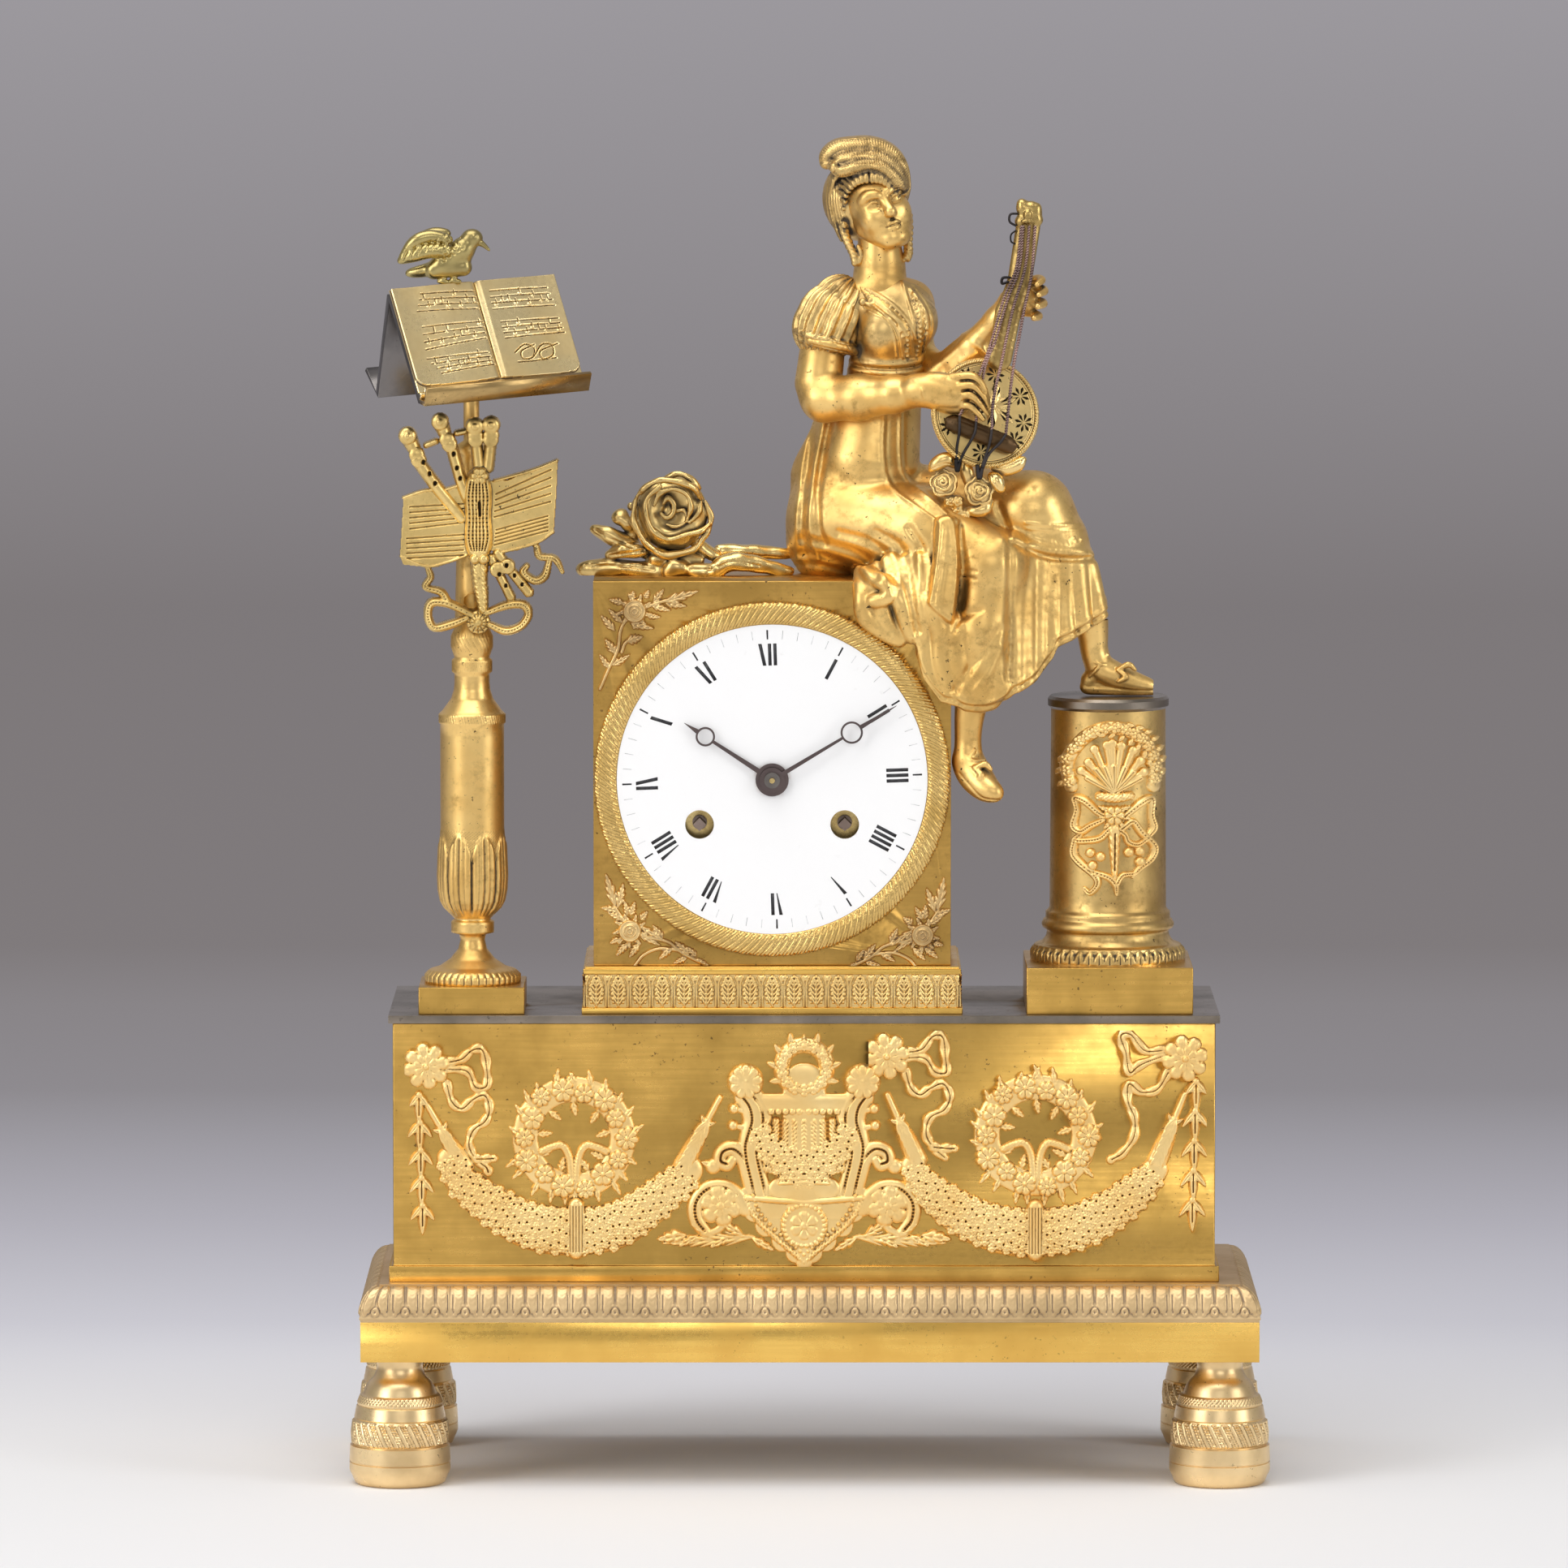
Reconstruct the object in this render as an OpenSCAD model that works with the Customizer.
/* [Base] */
// Width of the base block
base_w = 250; // [240:1:270]
// Depth of the base block
base_d = 95; // [90:1:110]
// Height of the base block
base_h = 11.2; // [10:0.1:16]
// Width of the bars of the base frame
base_bar = 21; // [18:0.5:24]
// Distance of a foot's axis inside the edge of the base block
foot_inset = 10.6; // [9:0.1:14]
// Radius of a foot at its widest ring
foot_r = 14.1; // [12:0.1:16]
// Height of the plain ring at the bottom of a foot
foot_ring_h = 10.9; // [8:0.1:14]
// Height of the beaded band of a foot
foot_bead_h = 7.5; // [6:0.1:10]
// Height of the smooth and knurled bands of a foot
foot_band_h = 6.8; // [5:0.1:9]
// Height of the domed neck of a foot
foot_neck_h = 10.1; // [8:0.1:13]
// Height of the leaf moulding
leaf_h = 10; // [8:0.1:13]
// Distance that the leaf moulding slopes inwards
leaf_in = 9.4; // [7:0.1:10]

/* [Frieze box] */
// Distance of the frieze box's ends inside the ends of the base block
box_in = 10.5; // [9:0.1:13]
// Distance of the frieze box's face inside the face of the base block
box_in_front = 11; // [9.5:0.1:13]
// Height of the face of the frieze box
box_h = 68; // [64:0.5:76]
// Height of the plain fillet under the face
fillet_h = 4.5; // [3:0.1:7]
// Distance that the fillet stands out from the face
fillet_out = 1.2; // [0.8:0.1:2]
// Sheet thickness of the boxes
wall = 2.4; // [1.8:0.1:3]
// Distance of the box from the middle of the base, to the left
box_left = 1.6; // [0:0.1:3]
// Thickness of the top plate
top_t = 2.2; // [1.6:0.1:3]
// Distance that the top plate stands out from the box
top_out = 1.2; // [0.8:0.1:2.4]
// Thickness of a cast mount's ground
mount_t = 1.6; // [1.2:0.1:2]
// Radius of a flower wreath, measured to its leaves
wreath_r = 19; // [17:0.1:20]
// Radius of a garland's end rosette
rosette_r = 6.6; // [5.5:0.1:7.5]

/* [Clock case] */
// Width of the case
case_w = 99.5; // [97:0.5:104]
// Depth of the case
case_d = 50; // [49:0.5:56]
// How much higher than wide the case is
case_rise = 8; // [6:0.1:12]
// Distance of the case's middle from the middle of the base, to the left
case_left = 10.5; // [8:0.1:13]
// Distance of the case's face behind the face of the frieze box
case_back = 5.5; // [4.5:0.1:8]
// Distance that the plinth stands out from the case
plinth_out = 3.3; // [2.5:0.1:4]
// Height of the plinth
plinth_h = 13.3; // [10:0.1:18]
// Height of the bezel's lowest point over the foot of the case
bezel_up = 2.4; // [1.5:0.1:4]
// Width of the bezel between the dial and its outer edge
bezel_w = 7.6; // [6.5:0.1:9]
// Thickness of the bezel
bezel_t = 3; // [2.6:0.1:4]

/* [Movement] */
// Wall of the movement drum
drum_wall = 1.2; // [0.8:0.1:1.4]
// Clear distance between the plates
plate_gap = 22.2; // [21.8:0.1:24]
// Thickness of a plate
plate_t = 1.8; // [1.4:0.1:2.4]
// Height of a barrel
barrel_h = 10; // [8:0.1:10.6]
// Distance from the suspension to the middle of the bob
pendulum_l = 136; // [128:0.5:146]
// Radius of the bob
bob_r = 12; // [9:0.1:15]
// Side of a winding square
square_w = 2.6; // [2.2:0.1:2.7]
// Running clearance of a shaft in its hole, on the radius
running = 0.05; // [0.02:0.01:0.09]

/* [Column and stand] */
// Side of the column's block
col_block_w = 46.4; // [42:0.1:48]
// Height of the column's block
col_block_h = 13.1; // [10:0.1:16]
// Distance of the column's axis from the side of the case
col_gap = 44.25; // [43:0.05:46]
// Height of the column shaft with its mouldings
col_shaft_h = 70.7; // [69:0.1:73]
// Radius of the column shaft
col_r = 16.3; // [15:0.1:17]
// Thickness of the column's cap
cap_t = 3.5; // [2.5:0.1:5]
// Side of the stand's block
stand_block_w = 29.5; // [28:0.1:32]
// Height of the stand's block
stand_block_h = 7.6; // [6:0.1:10]
// Distance of the stand's axis from the side of the case
stand_gap = 33.95; // [32:0.05:36]
// Distance of both blocks behind the face of the frieze box
block_back = 1.5; // [1:0.1:4]
// Width of the music desk along its ridge
desk_w = 50; // [46:0.5:52]
// Turn of the music desk about the stand
desk_turn = 26; // [20:1:32]
// Thickness of the desk's panels
desk_t = 1.3; // [1:0.1:2]

/* [Hidden] */

// Stud and nut of the feet, the column and the stand
stud_r = 2.4;
nut_r = 4.6;
nut_h = 3.4;
stud_gap = 0.15;

// Heights of the stacked pieces
foot_h = foot_ring_h + foot_bead_h + foot_band_h + foot_neck_h;
base_z = foot_h;
leaf_z = base_z + base_h;
fillet_z = leaf_z + leaf_h;
box_z = fillet_z + fillet_h;
top_z = box_z + box_h;
deck_z = top_z + top_t;
case_z = deck_z + plinth_h;
case_h = case_w + case_rise;
case_top = case_z + case_h;
foot_x = base_w / 2 - foot_inset;
foot_y = base_d / 2 - foot_inset;

// Places seen from above; the front of the clock looks towards -Y
box_w = base_w - 2 * box_in;
box_d = base_d - 2 * box_in_front;
box_x = -box_left;
front_y = -box_d / 2;
mount_k = min(box_w / 229, box_h / 68);
garland_at = box_w * 0.2815;
case_x = -case_left;
case_right = case_x + case_w / 2;
case_y0 = front_y + case_back;
case_y1 = case_y0 + case_d;
case_y = (case_y0 + case_y1) / 2;
col_x = case_right + col_gap;
col_y = front_y + block_back + col_block_w / 2;
col_z = deck_z + col_block_h;
cap_z = col_z + col_shaft_h;
col_top = cap_z + cap_t;
stand_x = case_x - case_w / 2 - stand_gap;
stand_y = front_y + block_back + stand_block_w / 2;
stand_z = deck_z + stand_block_h;

// The movement's axis and the levels along it, from the dial backwards
bezel_r = case_w / 2 + 0.05;
dial_r = bezel_r - bezel_w;
drum_r = dial_r + 2.3;
mx = case_x;
mz = case_z + bezel_up + bezel_r;
dial_t = 1.6;
dial_y = case_y0 - bezel_t + 1.7;
lip_gap = 0.1;
motion_gap = 5.7;
front_plate_y = dial_y + dial_t + motion_gap;
train_y = front_plate_y + plate_t;
back_plate_y = train_y + plate_gap;
rear_y = back_plate_y + plate_t;
plate_r = drum_r - drum_wall - 0.1;
pivot_r = 0.6;
arbor_r = 0.8;
wind_r = 2;

// Wheels: [teeth, module], the driver first; the whole train grows with the drum
train = drum_r / 44.5;
wind_x = 20.2 * train;
wind_down = 12.6 * train;
barrel_r = 14.4 * train;
bell_r = 26 * train;
great = [72, 0.42 * train];
great_pinion = 12;
second = [60, 0.36 * train];
second_pinion = 10;
centre = [84, 0.26 * train];
centre_pinion = 7;
third = [78, 0.24 * train];
third_pinion = 6;
cannon = [12, 0.4 * train];
minute_teeth = 36;
minute_pinion = 10;
hour_teeth = 40;
escape_teeth = 31;
escape_r = 8.5 * train;
pin_wheel_pinion = 8;
pin_wheel_r = 6.6 * train;
hammer_pins = 9;

function apart(pair, leaves) = pair[1] * (pair[0] + leaves) / 2;
function meet(a, ra, b, rb) =
    let (d = norm(b - a), x = (d * d + ra * ra - rb * rb) / (2 * d),
         h = sqrt(ra * ra - x * x), u = (b - a) / d)
    a + x * u + h * [-u[1], u[0]];
function angle_to(a, b) = atan2(b[1] - a[1], b[0] - a[0]);

// Arbors, as [x, z] from the centre arbor
centre_at = [0, 0];
going_at = [wind_x, -wind_down];
strike_at = [-wind_x, -wind_down];
inter_at = meet(centre_at, apart(second, second_pinion), going_at, apart(great, great_pinion));
third_at = apart(centre, centre_pinion) * [cos(120), sin(120)];
escape_at = [0, third_at[1] + sqrt(pow(apart(third, third_pinion), 2) - pow(third_at[0], 2))];
anchor_at = [0, escape_at[1] + escape_r * 1.42];
minute_at = apart(cannon, minute_teeth) * [cos(35), sin(35)];
strike2_at = strike_at + apart(great, great_pinion) * [cos(95), sin(95)];
pin_at = strike2_at + apart(second, pin_wheel_pinion) * [cos(100), sin(100)];
hammer_at = pin_at + train * [-9.3, -2.3];
bell_at = train * [12, -8];
pillar_angles = [0, 50, 130, 180, 270];
pillar_at = plate_r - 5.7;
dial_foot_at = 35.5 * train;

// Levels of the train between the plates
great_y = train_y + 1.2;
great_t = 1.6;
second_y = train_y + plate_gap - 7.2;
second_t = 1;
centre_y = train_y + plate_gap - 4.4;
centre_t = 0.8;
third_y = train_y + 7.2;
third_t = 0.8;
escape_y = train_y + 11.4;
escape_t = 0.8;
pin_y = second_y;

// Levels behind the back plate
count_y = rear_y + 0.6;
crutch_y = rear_y + 0.8;
rod_y = rear_y + 4;
rod_r = 0.8;
bell_y = rear_y + 8.2;
bell_h = 8;

// Hinge of the rear cover
hinge_x = bezel_r - 1.4;
hinge_r = 1.5;
hinge_y = case_y1 + 2.2;
pin_r = 0.7;
hinge_len = 14;

// Levels in front of the dial
hand_t = 0.5;
hour_hand_y = dial_y - 1.4;
minute_hand_y = hour_hand_y - 1;
collet_t = 1;

// Stand: [radius, height over its block] from the foot ring to the rod's end
stand_outline = [[13.4, 0], [13.4, 2.2], [12, 3.6], [9.4, 4.4], [6.2, 6.6], [4, 9.4], [3.4, 12],
    [3.8, 13.4], [6, 14], [6, 17], [5, 17.8], [6.4, 19.2], [8.8, 23], [9.6, 30], [9.3, 38],
    [8.9, 43.5], [8.9, 72.4], [9.3, 72.8], [9.3, 75.2], [8.3, 76.2], [5.9, 79.5], [4.9, 84],
    [4.9, 86.4], [5.6, 87], [5.6, 90.4], [4.9, 91], [5.9, 94], [5.9, 97], [4.8, 99.5],
    [4.3, 120], [3, 147.4], [4, 148.6], [4, 150.4], [2.2, 151.6], [2.2, 166]];
rod_top = stand_outline[len(stand_outline) - 1][1];
desk_z = stand_z + rod_top;

// Column: [radius, height over its block] up to the cap
col_outline = [[21.6, 0], [21.6, 2.6], [20.6, 4.4], [18.6, 5], [17.2, 7], [17, 8.4], [18.3, 9.2],
    [18.5, 10.4], [18, 11.4], [17.4, 12.2], [17.4, 13.6]];

// The desk's cross-section: how far and how deep each panel runs from the ridge
desk_front = [16, 27];
desk_rear = [11.6, 27];
desk_lip = 4;
desk_tilt = 3.5;

function desk_point(along, out, down) =
    let (a = along * cos(desk_tilt) + down * sin(desk_tilt),
         z = along * sin(desk_tilt) - down * cos(desk_tilt))
    [stand_x + a * cos(desk_turn) + out * sin(desk_turn),
     stand_y + a * sin(desk_turn) - out * cos(desk_turn),
     desk_z + desk_front[1] + z];

// Figure: places on the case's top, kept from its right side
function on_case(p) = p + [case_right - 49.75, case_y, case_top];
seat_right = on_case([14, 0, 9.5]);
seat_left = on_case([24, 6, 9.5]);
seat_rear = on_case([11, 10, 9]);
waist = on_case([31.8, 1, 58]);
chest = on_case([32.5, -1, 72]);
shoulder_right = on_case([17.5, -1, 74]);
shoulder_left = on_case([42, 0, 75]);
neck_foot = on_case([30, 1, 80]);
head_mid = on_case([29.3, 0, 103]);
elbow_right = on_case([13.6, -4, 46]);
wrist_right = on_case([42, -21.5, 51]);
hand_right = on_case([54, -25, 48]);
elbow_left = on_case([46, -4, 57]);
wrist_left = on_case([61.5, -16, 73]);
hand_left = on_case([70, -19, 80]);
knee_right = on_case([57, -22.5, 10]);
hem_right = on_case([56.5, -23, -31]);
ankle_right = on_case([55, -23, -41]);
toe_right = on_case([60, -26, -58]);
knee_left = on_case([76, -8, 19]);
toe_left = [col_x + 9.5, col_y - 3, col_top + 2.2];
heel_left = [col_x - 5, col_y - 2, col_top + 2.2];
ankle_left = heel_left + [1, 0, 8];
shin_left = ankle_left + [-4, 0, 14];
disc_at = on_case([59.2, -20, 46.3]);
disc_r = 15.5;
disc_t = 5;
disc_lean = 12;
neck_low = on_case([64.5, -22.5, 62]);
neck_high = on_case([71.6, -19, 101]);

// A flat piece drawn as seen from the front, from the depth y back by t
module slab(at, y, t) {
    translate([at[0], y + t, at[1]]) rotate([90, 0, 0]) linear_extrude(t) children();
}

// The same about the movement's axis
module works(at, y, t) {
    slab([mx + at[0], mz + at[1]], y, t) children();
}

// A plain round shaft along the movement's axis, from y0 back to y1
module shaft(at, r, y0, y1) {
    translate([mx + at[0], y0, mz + at[1]]) rotate([-90, 0, 0]) cylinder(r = r, h = y1 - y0, $fn = 32);
}

// A turned piece standing on z, from an outline of [radius, height]
module turned(at, z, outline) {
    last = outline[len(outline) - 1];
    translate([at[0], at[1], z])
        rotate_extrude($fn = 72)
            polygon(concat([[0, 0]], outline, [[0, last[1]]]));
}

// A box by its middle in X, its front and back, and its heights
module block(x, w, y0, y1, z0, z1) {
    translate([x - w / 2, y0, z0]) cube([w, y1 - y0, z1 - z0]);
}

// One tooth as [radius, angle], with radial flanks and a tapering tip
function tooth(n, m, thick, tip, root) =
    let (r = n * m / 2, a = thick / n * 180 / PI)
    [[r - root * m, -a], [r, -a], [r + tip * m, -a * 0.3], [r + tip * m, a * 0.3], [r, a], [r - root * m, a]];

module teeth(n, m, thick, tip, root, phase) {
    rotate(phase)
        polygon([for (k = [0:n - 1]) for (p = tooth(n, m, thick, tip, root))
            p[0] * [cos(k * 360 / n + p[1]), sin(k * 360 / n + p[1])]]);
}

// A crossed-out wheel with a tooth at the angle phase
module wheel(pair, phase, spokes = 5) {
    r = pair[0] * pair[1] / 2;
    rim = r * 0.8;
    hub = max(2.4, r * 0.24);
    difference() {
        teeth(pair[0], pair[1], 1.3, 1.1, 1.4, phase);
        difference() {
            circle(rim, $fn = 64);
            circle(hub, $fn = 32);
            for (k = [0:spokes - 1])
                rotate(k * 360 / spokes + 18) translate([0, -0.5]) square([rim + 1, 1]);
        }
    }
}

// A pinion with a gap at the angle facing its wheel
module pinion(n, m, facing) {
    teeth(n, m, 0.95, 0.6, 1.35, facing + 180 / n);
}

// A rosette of petals round a boss, drawn flat
module rosette(r, petals) {
    circle(r * 0.62, $fn = 24);
    for (k = [0:petals - 1])
        rotate(k * 360 / petals) translate([r * 0.68, 0]) circle(r * 0.32, $fn = 16);
}

// A pointed leaf from the origin along X, drawn flat
module leaf(l, w) {
    intersection() {
        translate([l / 2, w / 2 - (l * l / 4 + w * w / 4) / w]) circle((l * l / 4 + w * w / 4) / w, $fn = 48);
        translate([l / 2, (l * l / 4 + w * w / 4) / w - w / 2]) circle((l * l / 4 + w * w / 4) / w, $fn = 48);
    }
}

// A band along a list of points with a width at each, drawn flat
module band(points, widths) {
    for (i = [0:len(points) - 2])
        let (d = points[i + 1] - points[i], u = [-d[1], d[0]] / norm(d)) {
            polygon([points[i] + u * widths[i] / 2, points[i] - u * widths[i] / 2,
                points[i + 1] - u * widths[i + 1] / 2, points[i + 1] + u * widths[i + 1] / 2]);
            translate(points[i + 1]) circle(widths[i + 1] * 0.48, $fn = 20);
        }
}

module feet() {
    z1 = foot_ring_h;
    z2 = z1 + foot_bead_h;
    z3 = z2 + foot_band_h;
    color("peru")
        for (sx = [-1, 1]) for (sy = [-1, 1]) {
            turned([sx * foot_x, sy * foot_y], 0, [[foot_r - 2, 0], [foot_r - 0.5, 2.2],
                [foot_r, 4], [foot_r, 6], [foot_r - 0.5, 6.3], [foot_r, 6.6], [foot_r, z1],
                [foot_r - 0.7, z1], [foot_r - 0.7, z2], [foot_r - 1.5, z2], [foot_r - 2.2, z2 + 3.8],
                [foot_r - 2.2, z2 + 4], [foot_r - 3.5, z3], [foot_r - 4.1, z3 + 0.2],
                [foot_r - 4.9, z3 + 2.4], [foot_r - 6.2, z3 + 4.1], [foot_r - 7.6, z3 + 6],
                [foot_r - 7.8, z3 + 8], [foot_r - 7.2, foot_h]]);
            translate([sx * foot_x, sy * foot_y, foot_h])
                cylinder(r = stud_r, h = base_h - 1, $fn = 32);
        }
}

module nut(at, z) {
    translate([at[0], at[1], z]) difference() {
        cylinder(r = nut_r, h = nut_h, $fn = 6);
        translate([0, 0, -1]) cylinder(r = stud_r + running, h = nut_h + 2, $fn = 32);
    }
}

module fixing_nuts() {
    color("darkgoldenrod") {
        for (sx = [-1, 1]) for (sy = [-1, 1])
            nut([sx * foot_x, sy * foot_y], base_z + base_h - nut_h - 1.6);
        nut([col_x, col_y], top_z - nut_h);
        nut([stand_x, stand_y], top_z - nut_h);
    }
}

module base_frame() {
    color("goldenrod") difference() {
        translate([-base_w / 2, -base_d / 2, base_z]) cube([base_w, base_d, base_h]);
        translate([-base_w / 2 + base_bar, -base_d / 2 + base_bar, base_z - 1])
            cube([base_w - 2 * base_bar, base_d - 2 * base_bar, base_h + 2]);
        for (sx = [-1, 1]) for (sy = [-1, 1]) translate([sx * foot_x, sy * foot_y, base_z]) {
            translate([0, 0, -1]) cylinder(r = stud_r + stud_gap, h = base_h, $fn = 32);
            translate([0, 0, base_h - nut_h - 1.6]) cylinder(r = nut_r + 1, h = nut_h + 2, $fn = 32);
        }
    }
}

// Outline of the leaf moulding over a length w: a steep round, then a flat top
function leaf_outline(w) =
    let (h = leaf_h, steep = leaf_in * 0.55)
    concat([[-w / 2, 0]],
        [for (a = [0:15:90]) [-w / 2 + steep * (1 - cos(a)), 0.6 + (h - 1.2) * sin(a)]],
        [[-w / 2 + steep, h], [w / 2 - steep, h]],
        [for (a = [90:-15:0]) [w / 2 - steep * (1 - cos(a)), 0.6 + (h - 1.2) * sin(a)]],
        [[w / 2, 0]]);

module leaf_moulding() {
    color("darkkhaki") difference() {
        translate([0, 0, leaf_z]) intersection() {
            translate([0, base_d / 2, 0]) rotate([90, 0, 0])
                linear_extrude(base_d) polygon(leaf_outline(base_w));
            translate([-base_w / 2, 0, 0]) rotate([90, 0, 90])
                linear_extrude(base_w) polygon(leaf_outline(base_d));
        }
        block(box_x, box_w - 2 * wall, front_y + wall, -front_y - wall, leaf_z - 1, fillet_z + 1);
    }
}

module frieze_box() {
    color("darkgoldenrod") difference() {
        union() {
            block(box_x, box_w, front_y, -front_y, box_z, top_z);
            block(box_x, box_w + 2 * fillet_out, front_y - fillet_out, fillet_out - front_y,
                fillet_z, box_z);
        }
        block(box_x, box_w - 2 * wall, front_y + wall, -front_y - wall, fillet_z - 1, top_z + 1);
    }
}

module top_plate() {
    slot_w = 2 * (bob_r + 6);
    color("saddlebrown") difference() {
        block(box_x, box_w + 2 * top_out, front_y - top_out, top_out - front_y, top_z, deck_z);
        block(case_x, slot_w, rod_y - 7, rod_y + 7, top_z - 1, deck_z + 1);
        for (p = [[col_x, col_y], [stand_x, stand_y]]) translate([p[0], p[1], top_z - 1])
            cylinder(r = stud_r + stud_gap, h = top_t + 2, $fn = 32);
    }
}

// A swag hanging from both ends between x0 and x1, from the height z1 down to z0
function swag(x0, x1, z0, z1) =
    [for (t = [-1:0.2:1]) [(x0 + x1) / 2 + t * (x1 - x0) / 2, z0 + (z1 - z0) * pow(abs(t), 2.3)]];
function swag_width(middle, end) = [for (t = [-1:0.2:1]) middle + (end - middle) * pow(abs(t), 1.5)];

// A casting on the face of the box, drawn at the size of the mounts and t times as thick as their ground
module casting(at, t) {
    slab(at, front_y - t * mount_t, t * mount_t) scale(mount_k) children();
}

module wreath(at) {
    ring = wreath_r - 5.2;
    casting(at, 1) difference() {
        circle(wreath_r - 2.6, $fn = 48);
        circle(wreath_r * 0.45, $fn = 48);
    }
    for (k = [0:13])
        casting(at + mount_k * ring * [cos(k * 360 / 14), sin(k * 360 / 14)], 2)
            rosette(k % 2 == 0 ? 4.4 : 3.8, 5);
}

module bell_drop(at, l) {
    n = 5;
    step = l / n;
    casting(at, 1) translate([-0.8, 0]) square([1.6, l]);
    for (k = [0:n - 1])
        casting(at + mount_k * [0, k * step], 1.5)
            polygon([[0, step * 0.95], [-2.4, step * 0.5], [-4, step * 0.25], [-1.6, step * 0.3],
                [0, 0], [1.6, step * 0.3], [4, step * 0.25], [2.4, step * 0.5]]);
}

// Wavy ribbon from a rosette, drawn flat
module ribbon(p, dir, l) {
    band([for (k = [0:6]) p + [dir * (k * l / 12 + 1.6 * sin(k * 90)), -k * l / 6]],
        [for (k = [0:6]) 3.2 - k * 0.1]);
}

// A bound garland under a wreath
module garland(at, x0, x1, z0, z1, wreath_z) {
    casting(at, 1.6) band(swag(x0, x1, z0, z1), swag_width(13.2, 6.5));
    casting(at + mount_k * [0, 1], 2) translate([-2.2, -6.8]) square([4.4, 18.6]);
    wreath(at + mount_k * [0, wreath_z]);
}

module garland_mount_left() {
    at = [box_x - garland_at, box_z + 9.4 * mount_k];
    color("goldenrod") {
        garland(at, -36.5, 39, 1.5, 40, 25.5);
        casting(at, 1) ribbon([-33, 46], 1, 27);
        casting(at + mount_k * [-40.6, 45.6], 1.9) rosette(rosette_r, 8);
        bell_drop(at - mount_k * [42.5, 0], 40);
    }
}

module garland_mount_right() {
    at = [box_x + garland_at, box_z + 9.2 * mount_k];
    color("goldenrod") {
        garland(at, -38, 38, 1, 43, 27);
        casting(at, 1) for (s = [-1, 1]) ribbon([s * 36, 48], -s, 27);
        for (p = [[-41.2, 49], [41.6, 48.2]]) casting(at + mount_k * p, 1.9) rosette(rosette_r, 8);
        bell_drop(at + mount_k * [44.2, 0], 44.6);
    }
}

module lyre_mount() {
    at = [box_x, box_z];
    ring_r = 7.2;
    color("goldenrod") {
        casting(at + mount_k * [0, 55], 1.6) difference() {
            circle(ring_r, $fn = 40);
            circle(ring_r * 0.45, $fn = 32);
        }
        casting(at, 1) {
            translate([-14, 45]) square([28, 3.4]);
            for (k = [-2:2]) translate([k * 2.4 - 0.6, 30]) square([1.2, 16]);
            for (s = [-1, 1]) scale([s, 1]) {
                band([[17, 52], [14.6, 46], [15.6, 38], [15.4, 30], [12.8, 22], [11, 20]],
                    [3, 3.4, 4.2, 4.4, 4, 3.4]);
                band([[12, 12], [20, 9], [28, 9.6], [37.6, 8.2]], [4.4, 3.4, 3.4, 2]);
                band([[11, 15], [18, 20], [25, 24], [30, 20], [28, 13], [22, 13.6]],
                    [2.6, 2.2, 2, 1.8, 1.6, 1.6]);
                translate([22.6, 18]) rosette(3.4, 6);
            }
        }
        casting(at, 1.5)
            polygon([[-12.5, 22], [-13, 14], [-10, 6], [-4, 2.6], [0, 1], [4, 2.6], [10, 6], [13, 14],
                [12.5, 22], [6, 24], [-6, 24]]);
        casting(at, 1.8) {
            band(swag(-13, 13, 28.6, 41), swag_width(5.2, 3));
            for (s = [-1, 1]) translate([s * 16.8, 51.4 - s * 0.6]) rosette(3.1, 6);
            translate([0, 12]) rosette(5, 8);
        }
    }
}

module case_plinth() {
    w = case_w + 2 * plinth_out;
    y0 = case_y0 - plinth_out;
    y1 = case_y1 + plinth_out;
    strip = 1;
    color("goldenrod") difference() {
        union() {
            block(case_x, w, y0, y1, deck_z, deck_z + 1.8);
            block(case_x, w - 2 * strip, y0 + strip, y1 - strip, deck_z, case_z);
            block(case_x, w - strip, y0 + strip / 2, y1 - strip / 2, case_z - 2.2, case_z - 0.6);
        }
        block(case_x, case_w - 2 * wall, case_y0 + wall, case_y1 - wall, deck_z - 1, case_z + 1);
    }
}

module case_shell() {
    color("darkgoldenrod") difference() {
        block(case_x, case_w, case_y0, case_y1, case_z, case_top);
        block(case_x, case_w - 2 * wall, case_y0 + wall, case_y1 - wall, case_z - 1, case_top - wall);
        shaft([0, 0], drum_r + 0.1, case_y0 - 1, case_y1 + 1);
    }
}

// A flower spray in a corner of the case: a rose and two leafy sprigs of given angle and length
module spray(x, z, a1, l1, a2, l2) {
    l = case_w * 0.05;
    slab([x, z], case_y0 - mount_t, mount_t) {
        for (s = [[a1, l1], [a2, l2]]) rotate(s[0]) {
            translate([0, -l * 0.08]) square([s[1] - l * 0.6, l * 0.16]);
            for (k = [0:3]) for (side = [-1, 1])
                translate([l * 0.68 + k * (s[1] - l * 1.4) / 4, 0]) rotate(side * 38) leaf(l, l * 0.44);
            translate([s[1] - l * 1.2, 0]) leaf(l * 1.2, l * 0.48);
        }
    }
    slab([x, z], case_y0 - 1.9 * mount_t, 1.9 * mount_t) rosette(l * 0.74, 6);
}

module corner_mounts() {
    color("goldenrod") {
        spray(case_x - case_w * 0.379, case_top - case_w * 0.081, 17, case_w * 0.186, 245, case_w * 0.231);
        spray(case_x - case_w * 0.399, case_z + case_w * 0.115, 113, case_w * 0.157, -26, case_w * 0.221);
        spray(case_x + case_w * 0.422, case_z + case_w * 0.09, 74, case_w * 0.157, 198, case_w * 0.231);
    }
}

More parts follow.
